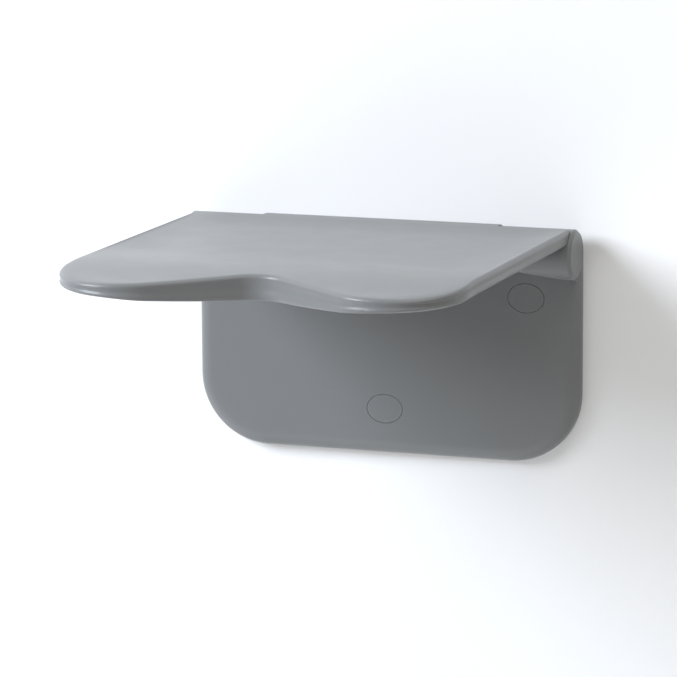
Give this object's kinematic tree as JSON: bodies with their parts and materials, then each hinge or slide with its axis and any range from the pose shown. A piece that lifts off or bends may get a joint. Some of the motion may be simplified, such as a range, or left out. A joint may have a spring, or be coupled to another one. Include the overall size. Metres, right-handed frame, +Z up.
{
  "type": "fold-up wall shower seat",
  "caption": "Wall-mounted shower seat: a flat board with a notched front edge, hinged to a round-cornered wall plate so that it folds up.",
  "frame": {"origin": "midway between the two upper fixing holes, in the plane of the wall", "axes": "+X along the wall to the viewer's right, +Y into the wall, +Z up; the board reaches out along -Y"},
  "size_m": [0.4, 0.4205, 0.2385],
  "materials": {
    "grey_plastic": "satin moulded, cool mid grey",
    "stainless_steel": "satin",
    "black_rubber": "matt",
    "bush_plastic": "natural white"
  },
  "bodies": {
    "root": {"wall_plate": "grey_plastic", "upper_left_screw_cover": "grey_plastic", "upper_right_screw_cover": "grey_plastic", "lower_screw_cover": "grey_plastic", "fixing_washers": "stainless_steel", "wall_sealing_rings": "black_rubber", "hinge_shaft": "stainless_steel", "shaft_retaining_rings": "stainless_steel", "left_shaft_sleeve": "stainless_steel", "right_shaft_sleeve": "stainless_steel", "left_hinge_end_cap": "grey_plastic", "right_hinge_end_cap": "grey_plastic"},
    "seat": {"seat_board": "grey_plastic", "seat_underside": "grey_plastic", "underside_screws": "stainless_steel", "left_knuckle_bush": "bush_plastic", "right_knuckle_bush": "bush_plastic", "left_heel_pad": "black_rubber", "right_heel_pad": "black_rubber", "left_stiffening_bar": "stainless_steel", "right_stiffening_bar": "stainless_steel"}
  },
  "joints": [
    {"name": "seat_fold", "type": "hinge", "parent": "root", "child": "seat", "pos_m": [0, -0.027, 0.047], "axis": [-1, 0, 0], "range_deg": [0, 90]}
  ]
}
